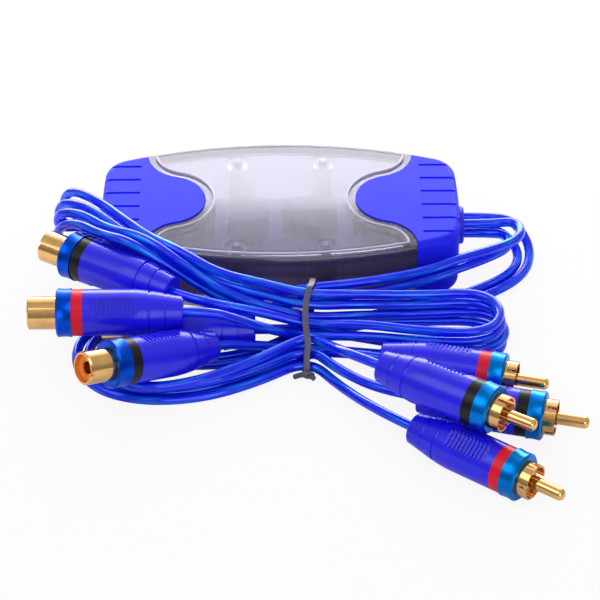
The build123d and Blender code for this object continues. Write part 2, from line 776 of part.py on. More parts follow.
# Wire tie round the gathered leads, with its twisted ends at the front
tie_corners = (
    (-33.1, 13.4), (-36.6, 14.0), (-42.7, 8.8), (-49.9, 9.2), (-51.2, 5.2), (-53.0, 2.4),
    (-36.0, 2.4), (-34.6, 10.6),
)
tie_plane = Plane(origin=(tie_station - tie_width / 2, 0, 0), x_dir=(0, 1, 0), z_dir=(1, 0, 0))


def tie_outline(reach):
    with BuildSketch() as loop:
        with Locations(*tie_corners):
            Circle(lead_radius + reach)
        make_hull()
    return loop.sketch


with BuildPart() as cable_tie:
    with BuildSketch(tie_plane):
        add(tie_outline(tie_clearance + tie_thickness))
        add(tie_outline(tie_clearance), mode=Mode.SUBTRACT)
    extrude(amount=tie_width)
    tail_start = min(corner[0] for corner in tie_corners) - lead_radius - tie_clearance
    for lean, reach in zip(tail_leans, tail_lengths):
        with BuildSketch(Plane(origin=(tie_station, tail_start, tail_height), z_dir=lean)):
            Circle(tail_radius)
        extrude(amount=reach)
save(cable_tie.part, "cable_tie")
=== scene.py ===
import math

import bpy
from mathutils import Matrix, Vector


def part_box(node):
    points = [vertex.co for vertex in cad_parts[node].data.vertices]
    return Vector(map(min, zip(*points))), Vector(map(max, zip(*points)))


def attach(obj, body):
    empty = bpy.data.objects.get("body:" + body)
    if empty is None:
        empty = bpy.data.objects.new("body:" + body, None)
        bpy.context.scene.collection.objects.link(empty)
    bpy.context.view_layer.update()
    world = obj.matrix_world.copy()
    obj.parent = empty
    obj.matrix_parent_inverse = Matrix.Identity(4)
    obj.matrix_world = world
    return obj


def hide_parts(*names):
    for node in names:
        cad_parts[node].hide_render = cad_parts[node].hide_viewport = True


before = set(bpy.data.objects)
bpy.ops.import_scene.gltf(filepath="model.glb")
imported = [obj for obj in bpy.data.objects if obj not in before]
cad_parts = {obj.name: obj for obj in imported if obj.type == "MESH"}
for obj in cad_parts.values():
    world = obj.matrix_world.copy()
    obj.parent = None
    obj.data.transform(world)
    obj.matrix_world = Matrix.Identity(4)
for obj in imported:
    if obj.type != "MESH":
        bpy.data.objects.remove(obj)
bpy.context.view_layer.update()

bl_info = {
    "name": "Ground Loop Isolator",
    "version": (1, 0, 0),
    "blender": (4, 5, 0),
    "location": "View3D > Sidebar > Isolator",
    "description": "Builds a four channel ground loop isolator with its folded phono leads",
    "category": "Object",
}

# The leads' routes in metres, from the box to the back of each connector's boot
lead_routes = {
    "input_lead_1": (
        (-0.0505, 0.0016, 0.0106), (-0.0555, 0.0016, 0.0106), (-0.0605, 0.0038, 0.014),
        (-0.0578, 0.0028, 0.0202), (-0.05, -0.0046, 0.0216), (-0.0426, -0.013, 0.0214),
        (-0.0355, -0.0212, 0.0214), (-0.0276, -0.0264, 0.021), (-0.017, -0.0316, 0.017),
        (-0.006, -0.034, 0.0157), (0.007, -0.0367, 0.0136), (0.02, -0.0362, 0.0132),
        (0.036, -0.0336, 0.0107), (0.054, -0.0323, 0.0105), (0.059, -0.041, 0.0104),
        (0.054, -0.0497, 0.0104), (0.037, -0.0486, 0.0103), (0.021, -0.0446, 0.0099),
        (0.007, -0.0425, 0.008), (-0.005, -0.0423, 0.012), (-0.016, -0.0426, 0.0149),
        (-0.02375, -0.04102, 0.01584), (-0.0289, -0.0379, 0.0158),
    ),
    "input_lead_2": (
        (-0.0505, 0.0016, 0.0074), (-0.056, 0.0016, 0.0074), (-0.0616, -0.0004, 0.012),
        (-0.06, -0.0016, 0.0192), (-0.0526, -0.0076, 0.0216), (-0.0448, -0.0156, 0.0212),
        (-0.0369, -0.024, 0.0198), (-0.0278, -0.0263, 0.0179), (-0.017, -0.0316, 0.0138),
        (-0.006, -0.0352, 0.0128), (0.007, -0.0381, 0.0108), (0.02, -0.037, 0.0104),
        (0.036, -0.0338, 0.0076), (0.0545, -0.0326, 0.0076), (0.0595, -0.0412, 0.0075),
        (0.0545, -0.0499, 0.0074), (0.037, -0.049, 0.0073), (0.021, -0.0464, 0.0072),
        (0.007, -0.0439, 0.0052), (-0.0025, -0.0456, 0.0085), (-0.011, -0.048, 0.014),
        (-0.0185, -0.049, 0.0177), (-0.0257, -0.049, 0.0177),
    ),
    "input_lead_3": (
        (-0.0505, -0.0016, 0.0106), (-0.0555, -0.0016, 0.0106), (-0.061, -0.0054, 0.013),
        (-0.0606, -0.0072, 0.0194), (-0.0544, -0.0106, 0.0218), (-0.0466, -0.018, 0.0218),
        (-0.0372, -0.0242, 0.024), (-0.0282, -0.0292, 0.0202), (-0.017, -0.0348, 0.0142),
        (-0.006, -0.038, 0.0112), (0.007, -0.0396, 0.008), (0.02, -0.0382, 0.0076),
        (0.036, -0.0342, 0.0047), (0.0555, -0.0329, 0.0047), (0.0605, -0.0416, 0.0046),
        (0.0555, -0.0502, 0.0045), (0.038, -0.0486, 0.0045), (0.021, -0.0442, 0.0048),
        (0.007, -0.041, 0.0052), (-0.0015, -0.0425, 0.0065), (-0.007, -0.0425, 0.0065),
    ),
    "input_lead_4": (
        (-0.0505, -0.0016, 0.0074), (-0.055, -0.0016, 0.0074), (-0.0604, -0.0084, 0.0098),
        (-0.061, -0.0108, 0.0164), (-0.0562, -0.0136, 0.0212), (-0.0484, -0.0206, 0.022),
        (-0.0404, -0.0268, 0.0243), (-0.0296, -0.0286, 0.0169), (-0.018, -0.0334, 0.0109),
        (-0.008, -0.0364, 0.0084), (0.007, -0.0381, 0.0052), (0.02, -0.0372, 0.0047),
        (0.034, -0.0342, 0.0022), (0.055, -0.0332, 0.0016), (0.06, -0.0418, 0.0016),
        (0.055, -0.0504, 0.0016), (0.038, -0.049, 0.0016), (0.021, -0.047, 0.0019),
        (0.007, -0.0454, 0.0024), (-0.0025, -0.0476, 0.0048), (-0.01472, -0.05016, 0.0078),
        (-0.0183, -0.0526, 0.009),
    ),
    "output_lead_1": (
        (0.0505, -0.0016, 0.0074), (0.056, -0.0016, 0.0074), (0.0624, -0.0036, 0.0084),
        (0.0626, -0.0104, 0.009), (0.0565, -0.0154, 0.0092), (0.048, -0.0204, 0.0094),
        (0.037, -0.027, 0.0099), (0.022, -0.0326, 0.0104), (0.007, -0.0352, 0.0108),
        (-0.006, -0.0336, 0.0058), (-0.017, -0.0327, 0.0023), (-0.03, -0.0323, 0.0016),
        (-0.043, -0.0333, 0.0016), (-0.0505, -0.0403, 0.0016), (-0.0518, -0.05, 0.0016),
        (-0.0464, -0.059, 0.0016), (-0.035, -0.0629, 0.0016), (-0.021, -0.0618, 0.0016),
        (-0.007, -0.0554, 0.0019), (0.007, -0.0474, 0.0024), (0.0183, -0.05274, 0.0065),
        (0.026, -0.0548, 0.0065),
    ),
    "output_lead_2": (
        (0.0505, 0.0016, 0.0106), (0.0565, 0.0016, 0.0106), (0.0648, 0.0046, 0.0074),
        (0.0695, -0.0025, 0.003), (0.0674, -0.0125, 0.0017), (0.059, -0.0206, 0.0016),
        (0.0475, -0.0264, 0.0016), (0.036, -0.03, 0.0016), (0.022, -0.0352, 0.0018),
        (0.007, -0.0401, 0.0026), (-0.0055, -0.0485, 0.0016), (-0.02, -0.0521, 0.0016),
        (-0.037, -0.0518, 0.0036), (-0.0435, -0.0592, 0.0075), (-0.037, -0.068, 0.0074),
        (-0.022, -0.0652, 0.0074), (-0.007, -0.057, 0.0077), (0.007, -0.0468, 0.008),
        (0.0116, -0.056, 0.012), (0.0177, -0.06764, 0.0182), (0.0253, -0.0725, 0.0182),
    ),
    "output_lead_3": (
        (0.0505, 0.0016, 0.0074), (0.056, 0.0016, 0.0074), (0.0628, 0.0016, 0.0046),
        (0.0662, -0.0046, 0.0022), (0.0638, -0.012, 0.0016), (0.0565, -0.018, 0.0016),
        (0.0465, -0.0234, 0.0016), (0.035, -0.0274, 0.0016), (0.022, -0.0316, 0.0018),
        (0.007, -0.0362, 0.0024), (-0.004, -0.0447, 0.0016), (-0.02, -0.0494, 0.0016),
        (-0.04, -0.0488, 0.0016), (-0.046, -0.0565, 0.0044), (-0.04, -0.0648, 0.0044),
        (-0.024, -0.0638, 0.0046), (-0.008, -0.0576, 0.0048), (0.007, -0.0484, 0.0052),
        (0.015, -0.058, 0.0048), (0.0258, -0.0682, 0.0065), (0.035, -0.0706, 0.0065),
    ),
    "output_lead_4": (
        (0.0505, -0.0016, 0.0106), (0.0575, -0.0016, 0.0106), (0.0654, -0.0022, 0.0118),
        (0.066, -0.01, 0.0122), (0.059, -0.0152, 0.0123), (0.0495, -0.0194, 0.0125),
        (0.0375, -0.0264, 0.0129), (0.022, -0.0314, 0.0134), (0.007, -0.0338, 0.0136),
        (-0.006, -0.0312, 0.009), (-0.017, -0.0298, 0.003), (-0.03, -0.0294, 0.0016),
        (-0.0445, -0.0304, 0.0016), (-0.0536, -0.039, 0.0016), (-0.0549, -0.051, 0.0016),
        (-0.0482, -0.0616, 0.0016), (-0.036, -0.066, 0.0016), (-0.021, -0.0649, 0.0016),
        (-0.007, -0.0592, 0.0019), (0.007, -0.0503, 0.0024), (0.015, -0.0608, 0.0018),
        (0.025, -0.0768, 0.0065), (0.0334, -0.083, 0.0065),
    ),
}
lead_lengths = {
    "input_lead_1": 0.2459,
    "input_lead_2": 0.2476,
    "input_lead_3": 0.2267,
    "input_lead_4": 0.2409,
    "output_lead_1": 0.2374,
    "output_lead_2": 0.2469,
    "output_lead_3": 0.2424,
    "output_lead_4": 0.2746,
}

# The bead round the lid, in metres: its radius, and how far it is sunk into the lid
bead_radius = 0.0004
bead_sink = 0.0002
level_tolerance = 0.000001
weld_distance = 0.000005

# The tie, in metres. Each pull says where along y it takes hold, how far it goes in x and how
# far round that place the strap follows it. Each knot turn has its centre and its tilt.
strap_rounding = 0.0002
strap_cuts = 3
strap_pulls = (
    (-0.0330, -0.0300, 0.0013, 0.0070),
    (-0.0490, -0.0430, -0.0008, 0.0080),
    (-0.0600, -0.0530, -0.0005, 0.0030),
)
knot_turns = (
    ((0.0062, -0.0556, 0.0018), 0.5),
    ((0.0070, -0.0560, 0.0017), -0.6),
)
knot_radius = 0.00075
knot_thickness = 0.00045
knot_stretch = (1.35, 1.0, 0.9)
knot_lean = math.radians(80)
knot_twist = 0.3

# How the finishes vary: patches of colour and of gloss, counted in grains, and the gloss's spread
colour_patch = 12
gloss_patch = 5
gloss_spread = 0.2

# The clear plastics: how long their smears are and how deep, in metres, and how they refract
clear_patch = 0.004
clear_ripple = 0.000002
polycarbonate_ior = 1.58

# The studio, in metres: the camera, the floor, and each lamp's place, size and share of power
camera_place = (-0.00204, -0.62150, 0.46870)
camera_aim = (0.00508, -0.02170, 0.0)
floor_size = 6.0
floor_glow = 0.88
lamp_aim = (0, -0.03, 0)
lamps = (
    ("key", (-0.45, -0.35, 0.75), 0.55, 0.8),
    ("fill", (0.22, -0.80, 0.38), 0.55, 0.9),
    ("back", (0.05, 0.60, 0.60), 0.60, 0.4),
)
card_place = (0, 0.17, 0.085)
card_turn = (math.radians(82), 0, math.pi)
card_width = 0.36
card_height = 0.11
full_white = (1.0, 1.0, 1.0, 1.0)


def real(name, default, description, unit="LENGTH", subtype="DISTANCE", low=0.0):
    return bpy.props.FloatProperty(
        name=name, description=description, default=default, min=low, unit=unit,
        subtype=subtype, precision=5,
    )


def share(name, default, description):
    return bpy.props.FloatProperty(
        name=name, description=description, default=default, min=0.0, max=1.0, subtype="FACTOR",
    )


def colour(name, default, description):
    return bpy.props.FloatVectorProperty(
        name=name, description=description, default=srgb(default), size=4, min=0.0, max=1.0,
        subtype="COLOR",
    )


def srgb(code):
    """A hex colour as linear red, green, blue and alpha."""
    parts = [int(code[i:i + 2], 16) / 255 for i in (1, 3, 5)]
    linear = [c / 12.92 if c <= 0.04045 else ((c + 0.055) / 1.055) ** 2.4 for c in parts]
    return (*linear, 1.0)


class LeadSettings(bpy.types.PropertyGroup):
    diameter: real("Jacket diameter", 0.0026, "Outer diameter of each round lead")
    glint_length: real("Streak length", 0.012, "Length over which a strand's glint comes and goes")
    jacket: colour("Jacket", "#0026F4", "Clear blue jacket over the strands")
    # The strand colour is partly the strands' own tint and partly a painted glint, laid along the
    # leads by noise
    strand: colour("Strand glint", "#009CFF", "Where a strand lies close under the jacket")
    edge: colour("Jacket edge", "#1C10F2", "Where the eye looks along the jacket's thickness")


class HousingSettings(bpy.types.PropertyGroup):
    cap: colour("End caps", "#2028F2", "Soft plastic of the two end caps")
    grommet: colour("Grommets", "#2428D2", "Rubber grommets round the leads")
    lid: colour("Lid", "#C3BCDA", "Frosted plastic of the lid")
    wall: colour("Wall", "#7A6E8C", "Smoke tinted plastic of the lower shell")
    lid_clear: share("Lid clearness", 0.95, "How much shows through each face of the lid")
    wall_clear: share("Wall clearness", 0.7, "How much shows through each face of the wall")


class ConnectorSettings(bpy.types.PropertyGroup):
    boot: colour("Boots", "#1F18EE", "Clear blue moulded boots")
    collar: colour("Socket collars", "#0A50D8", "Blue anodised collars of the sockets")
    plug_collar: colour("Plug collars", "#0A80E0", "Paler blue anodised collars of the plugs")
    gold: colour("Gold plate", "#F2C07C", "Plated sockets and pins")
    red: colour("Red bands", "#E20D2C", "Bands of one channel")
    black: colour("Black bands", "#151216", "Bands of the other channel")


class StudioSettings(bpy.types.PropertyGroup):
    floor: colour("Floor", "#F4F4F6", "Pale studio floor")
    lamp: real("Lamp power", 2.0, "Power of the large soft lamp", "POWER", "NONE")
    card: real("Card power", 0.7, "Power of the low card behind the box", "POWER", "NONE")
    lens: real("Lens", 167.57, "Focal length in millimetres on a 36 mm sensor", "NONE", "NONE", 1.0)


groups = {
    "isolator_leads": LeadSettings,
    "isolator_housing": HousingSettings,
    "isolator_connectors": ConnectorSettings,
    "isolator_studio": StudioSettings,
}


# Materials


def new_material(name):
    material = bpy.data.materials.new(name)
    material.use_nodes = True
    material.node_tree.nodes.clear()
    return material, material.node_tree


def add_node(tree, kind, settings=None, **inputs):
    """Adds a node. Settings are its own properties; inputs are values or links, by socket name."""
    node = tree.nodes.new(kind)
    for key, value in (settings or {}).items():
        setattr(node, key, value)
    for key, value in inputs.items():
        label = key.replace("_", " ")
        socket = next((s for s in node.inputs if s.name == label and s.enabled), None)
        if socket is None:
            socket = node.inputs[int(key[1:])]
        if isinstance(value, bpy.types.NodeSocket):
            tree.links.new(value, socket)
        else:
            socket.default_value = value
    return node


def clear_pvc_jacket(settings):
    """Clear blue PVC, extruded over tinned strands. It shows a wet gloss, a violet sheen along its
    edges, and long runs of lighter blue, partly where a strand lies close under it and partly a
    painted glint that noise lays along it."""
    material, tree = new_material("Extruded clear blue PVC")
    lengths = list(lead_lengths.values())
    glint_count = sum(lengths) / len(lengths) / settings.glint_length
    around = add_node(
        tree, "ShaderNodeSeparateXYZ", Vector=add_node(tree, "ShaderNodeTexCoord").outputs["UV"]
    )
    along = add_node(
        tree, "ShaderNodeMath", {"operation": "MULTIPLY"}, _0=around.outputs["X"], _1=glint_count
    )
    angle = add_node(
        tree, "ShaderNodeMath", {"operation": "MULTIPLY"}, _0=around.outputs["Y"], _1=2 * math.pi
    )
    across = add_node(tree, "ShaderNodeMath", {"operation": "COSINE"}, _0=angle.outputs[0])
    above = add_node(tree, "ShaderNodeMath", {"operation": "SINE"}, _0=angle.outputs[0])
    place = add_node(
        tree, "ShaderNodeCombineXYZ", X=along.outputs[0], Y=across.outputs[0], Z=above.outputs[0]
    )
    # Noise along each lead: where it is high the jacket takes the strand colour, a painted glint
    glint_streaks = add_node(
        tree, "ShaderNodeTexNoise", Vector=place.outputs[0], Scale=1.1, Detail=2.0
    )
    amount = add_node(
        tree, "ShaderNodeMapRange", Value=glint_streaks.outputs["Fac"], From_Min=0.5, From_Max=0.8
    )
    shade = add_node(
        tree, "ShaderNodeMix", {"data_type": "RGBA"}, _0=amount.outputs[0],
        _6=tuple(settings.jacket), _7=tuple(settings.strand),
    )
    shader = add_node(
        tree, "ShaderNodeBsdfPrincipled", Base_Color=shade.outputs[2], Metallic=0.4,
        Roughness=0.22, Specular_IOR_Level=0.2, Coat_Weight=0.7, Coat_Roughness=0.04,
        Sheen_Weight=0.25, Sheen_Roughness=0.3, Sheen_Tint=tuple(settings.edge),
    )
    add_node(tree, "ShaderNodeOutputMaterial", Surface=shader.outputs[0])
    return material


def textured(name, tint, grain, depth, roughness, variation=0.06, **extra):
    """A surface with a fine grain of that size and depth in metres, and with colour and gloss
    that vary a little from place to place. The grains given are coarser than those of the real
    finishes, which would be too fine to show in the picture."""
    material, tree = new_material(name)
    place = add_node(tree, "ShaderNodeTexCoord").outputs["Object"]
    patches = add_node(tree, "ShaderNodeTexNoise", Vector=place, Scale=1 / (colour_patch * grain))
    smears = add_node(tree, "ShaderNodeTexNoise", Vector=place, Scale=1 / (gloss_patch * grain))
    pits = add_node(tree, "ShaderNodeTexNoise", Vector=place, Scale=1 / grain)
    darker = tuple(c * (1 - variation) for c in tint[:3]) + (1.0,)
    amount = add_node(
        tree, "ShaderNodeMapRange", Value=patches.outputs["Fac"], From_Min=0.35, From_Max=0.65
    )
    shade = add_node(
        tree, "ShaderNodeMix", {"data_type": "RGBA"}, _0=amount.outputs[0], _6=darker,
        _7=tuple(tint),
    )
    gloss = add_node(
        tree, "ShaderNodeMapRange", Value=smears.outputs["Fac"],
        To_Min=(1 - gloss_spread) * roughness, To_Max=(1 + gloss_spread) * roughness,
    )
    relief = add_node(tree, "ShaderNodeBump", Height=pits.outputs["Fac"], Distance=depth)
    shader = add_node(
        tree, "ShaderNodeBsdfPrincipled", Base_Color=shade.outputs[2],
        Roughness=gloss.outputs[0], Normal=relief.outputs[0], **extra
    )
    add_node(tree, "ShaderNodeOutputMaterial", Surface=shader.outputs[0])
    return material


def see_through(name, tint, clear, roughness):
    """A tinted clear plastic with a slightly uneven polish: each face blurs what shows through it
    and adds a little haze of its own, while lamplight passes straight in to the inside."""
    material, tree = new_material(name)
    place = add_node(tree, "ShaderNodeTexCoord").outputs["Object"]
    smears = add_node(tree, "ShaderNodeTexNoise", Vector=place, Scale=1 / clear_patch)
    gloss = add_node(
        tree, "ShaderNodeMapRange", Value=smears.outputs["Fac"],
        To_Min=(1 - gloss_spread) * roughness, To_Max=(1 + gloss_spread) * roughness,
    )
    relief = add_node(
        tree, "ShaderNodeBump", Height=smears.outputs["Fac"], Distance=clear_ripple
    )
    shader = add_node(
        tree, "ShaderNodeBsdfPrincipled", Base_Color=tuple(tint), Roughness=gloss.outputs[0],
        IOR=polycarbonate_ior, Transmission_Weight=clear, Normal=relief.outputs[0],
    )
    through = add_node(tree, "ShaderNodeBsdfTransparent", Color=tuple(tint))
    path = add_node(tree, "ShaderNodeLightPath")
    mix = add_node(
        tree, "ShaderNodeMixShader", Fac=path.outputs["Is Shadow Ray"], _1=shader.outputs[0],
        _2=through.outputs[0],
    )
    add_node(tree, "ShaderNodeOutputMaterial", Surface=mix.outputs[0])
    return material


# Modelling helpers


def to_edit(piece):
    bpy.ops.object.select_all(action="DESELECT")
    piece.select_set(True)
    bpy.context.view_layer.objects.active = piece
    bpy.ops.object.mode_set(mode="EDIT")


def to_object():
    bpy.ops.object.mode_set(mode="OBJECT")


def keep(piece, slot, *nodes):
    """The finished piece rides on the box and stands for those CAD nodes."""
    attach(piece, "root")
    if nodes:
        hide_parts(*nodes)
    return piece


def dress(material, *nodes):
    """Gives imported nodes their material. Their meshes stay as they are."""
    for node in nodes:
        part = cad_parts[node]
        if not part.material_slots:
            part.data.materials.append(material)
        for slot in part.material_slots:
            slot.material = material


def copy_of(node, name):
    """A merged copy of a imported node's mesh as a new piece, with nothing selected."""
    bpy.ops.object.select_all(action="DESELECT")
    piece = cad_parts[node].copy()
    piece.data = piece.data.copy()
    piece.name = name
    bpy.context.scene.collection.objects.link(piece)
    piece.data.materials.clear()
    to_edit(piece)
    bpy.ops.mesh.select_all(action="SELECT")
    bpy.ops.mesh.remove_doubles(threshold=weld_distance)
    bpy.ops.mesh.select_all(action="DESELECT")
    to_object()
    return piece


def lid_highlight_bead():
    """A fine rounded bead along the edge of the lid's raised field, coloured lighter than the lid: a
    painted highlight, a line of light round it.
    """
    bead = copy_of("upper_shell", "lid_highlight_bead")
    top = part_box("upper_shell")[1].z
    for face in bead.data.polygons:
        face.select = all(bead.data.vertices[v].co.z > top - level_tolerance for v in face.vertices)
    to_edit(bead)
    bpy.ops.mesh.region_to_loop()
    bpy.ops.mesh.select_mode(type="EDGE")
    bpy.ops.mesh.select_all(action="INVERT")
    bpy.ops.mesh.delete(type="EDGE_FACE")
    bpy.ops.mesh.select_all(action="SELECT")
    bpy.ops.mesh.delete_loose(use_verts=True, use_edges=False, use_faces=False)
    to_object()
    bpy.ops.object.convert(target="CURVE")
    bead.data.bevel_depth = bead_radius
    bead.data.bevel_resolution = 4
    bpy.ops.object.convert(target="MESH")
    to_edit(bead)
    bpy.ops.mesh.select_mode(type="VERT")
    bpy.ops.mesh.select_all(action="SELECT")
    bpy.ops.transform.translate(value=(0, 0, -bead_sink))
    to_object()
    bpy.ops.object.shade_smooth()
    # The bead is raised from the lid and catches the light; its opaque colour, lighter than the
    # frosted field beside it, adds a painted highlight line
    edge = textured(
        "Lighter polycarbonate with painted highlight", srgb("#B4ADC8"), grain=0.0004, depth=0.000004, roughness=0.3
    )
    bead.data.materials.append(edge)
    return bead


def leaning_tie():
    """The tie as a soft strap: rounded edges, a lean across the leads, and a knot at its ends."""
    tie = copy_of("cable_tie", "wire_tie")
    rounding = tie.modifiers.new("Rounded edges", "BEVEL")
    rounding.width = strap_rounding
    rounding.segments = 2
    rounding.limit_method = "ANGLE"
    rounding.angle_limit = math.radians(50)
    bpy.ops.object.modifier_apply(modifier=rounding.name)
    to_edit(tie)
    bpy.ops.mesh.select_all(action="SELECT")
    bpy.ops.mesh.subdivide(number_cuts=strap_cuts)
    bpy.ops.mesh.select_all(action="DESELECT")
    to_object()
    for near, far, pull, reach in strap_pulls:
        for vertex in tie.data.vertices:
            vertex.select = near < vertex.co.y < far
        to_edit(tie)
        bpy.ops.transform.translate(
            value=(pull, 0, 0), use_proportional_edit=True, proportional_edit_falloff="SMOOTH",
            proportional_size=reach,
        )
        bpy.ops.mesh.select_all(action="DESELECT")
        to_object()
    # The knot: two turns of the strap round each other where its ends start
    for place, tilt in knot_turns:
        bpy.ops.mesh.primitive_torus_add(
            major_radius=knot_radius, minor_radius=knot_thickness, major_segments=20,
            minor_segments=10, location=place, rotation=(knot_lean, tilt, knot_twist),
        )
        turn = bpy.context.object
        to_edit(turn)
        bpy.ops.mesh.select_all(action="SELECT")
        bpy.ops.transform.resize(value=knot_stretch, orient_type="GLOBAL")
        to_object()
        bpy.ops.object.transform_apply(location=True, rotation=True, scale=True)
        bpy.ops.object.select_all(action="DESELECT")
        turn.select_set(True)
        tie.select_set(True)
        bpy.context.view_layer.objects.active = tie
        bpy.ops.object.join()
    bpy.ops.object.shade_smooth_by_angle(angle=math.radians(40))
    # Steel wire with an extruded PVC coat: dark grey, smooth, with a soft shine
    coat = textured(
        "Extruded grey PVC", srgb("#5A5666"), grain=0.0005, depth=0.00002, roughness=0.3
    )
    tie.data.materials.append(coat)
    return tie


def family(ending):
    return sorted(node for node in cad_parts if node.endswith(ending))


# Operators


class ISOLATOR_OT_camera(bpy.types.Operator):
    """Sets the camera at the photograph's place: a long lens, 38 degrees above the floor"""
    bl_idname = "isolator.camera"
    bl_label = "Camera"

    def execute(self, context):
        view = Vector(camera_aim) - Vector(camera_place)
        turn = view.to_track_quat("-Z", "Y").to_euler()
        bpy.ops.object.camera_add(location=camera_place, rotation=turn)
        camera = context.object
        camera.name = "studio_camera"
        camera.data.sensor_fit = "HORIZONTAL"
        camera.data.sensor_width = 36.0
        camera.data.lens = context.scene.isolator_studio.lens
        camera.data.clip_start = 0.01
        context.scene.camera = camera
        return {"FINISHED"}


class ISOLATOR_OT_leads(bpy.types.Operator):
    """Lays the eight round leads along their routes, from the grommets to the connectors"""
    bl_idname = "isolator.leads"
    bl_label = "Leads"

    def execute(self, context):
        settings = context.scene.isolator_leads
        jacket_plastic = clear_pvc_jacket(settings)
        for node, points in lead_routes.items():
            curve = bpy.data.curves.new(node + "_jacket", "CURVE")
            curve.dimensions = "3D"
            curve.resolution_u = 10
            curve.bevel_depth = settings.diameter / 2
            curve.bevel_resolution = 6
            spline = curve.splines.new("NURBS")
            spline.points.add(len(points) - 1)
            for point, place in zip(spline.points, points):
                point.co = (*place, 1.0)
            spline.order_u = 3
            spline.use_endpoint_u = True
            jacket = bpy.data.objects.new(node + "_jacket", curve)
            context.scene.collection.objects.link(jacket)
            curve.materials.append(jacket_plastic)
            keep(jacket, "lead_jacket", node)
        return {"FINISHED"}


class ISOLATOR_OT_housing(bpy.types.Operator):
    """Gives the shells, end caps and grommets their plastics"""
    bl_idname = "isolator.housing"
    bl_label = "Housing"

    def execute(self, context):
        settings = context.scene.isolator_housing
        # Thermoplastic elastomer from a spark-eroded mould: soft, nearly matt, finely grained
        caps = textured(
            "Moulded thermoplastic elastomer", settings.cap,
            grain=0.00035, depth=0.000012, roughness=0.46,
            Specular_IOR_Level=0.12,
        )
        dress(caps, "input_end_cap", "output_end_cap")
        # Clear polycarbonate, frosted on its inside: milky, with soft shapes showing through
        lid = see_through("Frosted polycarbonate", settings.lid, settings.lid_clear, roughness=0.12)
        dress(lid, "upper_shell")
        # The bead, lighter than the lid, draws a painted highlight round the lid's field
        keep(lid_highlight_bead(), "frosted_plastic")
        # Smoke tinted polycarbonate from a polished mould: dark, glossy and still see-through
        wall = see_through("Smoke polycarbonate", settings.wall, settings.wall_clear, roughness=0.12)
        dress(wall, "lower_shell")
        # Nitrile rubber, moulded: a dull, even sheen
        rubber = textured(
            "Moulded nitrile rubber", settings.grommet, grain=0.0003, depth=0.00001, roughness=0.5
        )
        dress(rubber, "input_grommet", "output_grommet")
        return {"FINISHED"}


class ISOLATOR_OT_insides(bpy.types.Operator):
    """Finishes the board, transformers, wires and screws inside the box"""
    bl_idname = "isolator.insides"
    bl_label = "Insides"

    def execute(self, context):
        # Paper phenolic laminate, pressed and lacquered: flat, pale, faintly mottled
        board = textured(
            "Pressed paper phenolic", srgb("#8E88A8"), grain=0.0012, depth=0.00001, roughness=0.45
        )
        dress(board, "circuit_board")
        # Silicon steel laminations, stamped and dipped in varnish: near black with a dull gloss
        cores = [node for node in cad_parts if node.startswith("transformer_core")]
        steel = textured(
            "Varnished silicon steel", srgb("#2C2A30"), grain=0.0005, depth=0.00002, roughness=0.4
        )
        dress(steel, *cores)
        # Polyester tape over the windings: black, smooth, slightly uneven
        coils = [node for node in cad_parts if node.startswith("transformer_coil")]
        tape = textured(
            "Wound polyester tape", srgb("#1A181C"), grain=0.0008, depth=0.00002, roughness=0.45
        )
        dress(tape, *coils)
        # Extruded PVC sleeve on the hook-up wires
        sleeve = textured(
            "Extruded red PVC", srgb("#B8223A"), grain=0.0006, depth=0.00001, roughness=0.4
        )
        dress(sleeve, "hookup_wires")
        # Steel screws with bright zinc plate: grey, half bright
        zinc = textured(
            "Zinc plated steel", srgb("#A9ABB0"),
            grain=0.0003, depth=0.000004, roughness=0.35, variation=0.14, Metallic=1.0,
        )
        dress(zinc, "housing_screws")
        return {"FINISHED"}


class ISOLATOR_OT_connectors(bpy.types.Operator):
    """Finishes the boots, bands, collars, sockets and plugs"""
    bl_idname = "isolator.connectors"
    bl_label = "Connectors"

    def execute(self, context):
        settings = context.scene.isolator_connectors
        # Soft clear PVC, injection moulded: deep colour with a little light spread inside it
        boots = textured(
            "Moulded clear blue PVC", settings.boot,
            grain=0.0005, depth=0.000012, roughness=0.24, variation=0.12,
            Subsurface_Weight=0.08, Subsurface_Radius=(0.3, 0.4, 1.0), Subsurface_Scale=0.001,
            Coat_Weight=0.1, Coat_Roughness=0.12, Specular_IOR_Level=0.4,
        )
        dress(boots, *family("_boot"))
        # Aluminium, turned and anodised: coloured metal with a satin gloss, paler on the plugs
        for name, tint, start in (
            ("Blue anodised aluminium", settings.collar, "jack"),
            ("Pale blue anodised aluminium", settings.plug_collar, "plug"),
        ):
            collars = [node for node in family("_collar") if node.startswith(start)]
            anodised = textured(
                name, tint,
                grain=0.0003, depth=0.000004, roughness=0.28, variation=0.14, Metallic=1.0,
            )
            dress(anodised, *collars)
        # Brass, turned and gold plated: mirror bright, with a shine that varies faintly
        gold = textured(
            "Gold plated brass", settings.gold,
            grain=0.0003, depth=0.000004, roughness=0.14, variation=0.14, Metallic=1.0,
        )
        shells = [node for node in family("_shell") if node[:4] in ("jack", "plug")]
        dress(gold, "jack_contacts", *shells, *family("_pin"))
        # Acetal insulators, moulded: dense colour and a waxy gloss
        orange = textured(
            "Moulded orange acetal", srgb("#FF8C2A"), grain=0.0005, depth=0.00001, roughness=0.4
        )
        dress(orange, "jack_insulators")
        white = textured(
            "Moulded white acetal", srgb("#ECE6DA"), grain=0.0005, depth=0.00001, roughness=0.4
        )
        dress(white, "plug_insulators")
        # Printed polyester film round the boots: an even, glossy ink
        for name, tint in (("red", settings.red), ("black", settings.black)):
            film = textured(
                "Printed " + name + " film", tint,
                grain=0.0006, depth=0.000006, roughness=0.3, Specular_IOR_Level=0.25,
            )
            dress(film, name + "_bands")
        return {"FINISHED"}


class ISOLATOR_OT_tie(bpy.types.Operator):
    """Ties the leads together with a leaning strap"""
    bl_idname = "isolator.tie"
    bl_label = "Tie"

    def execute(self, context):
        keep(leaning_tie(), "tie_plastic", "cable_tie")
        return {"FINISHED"}


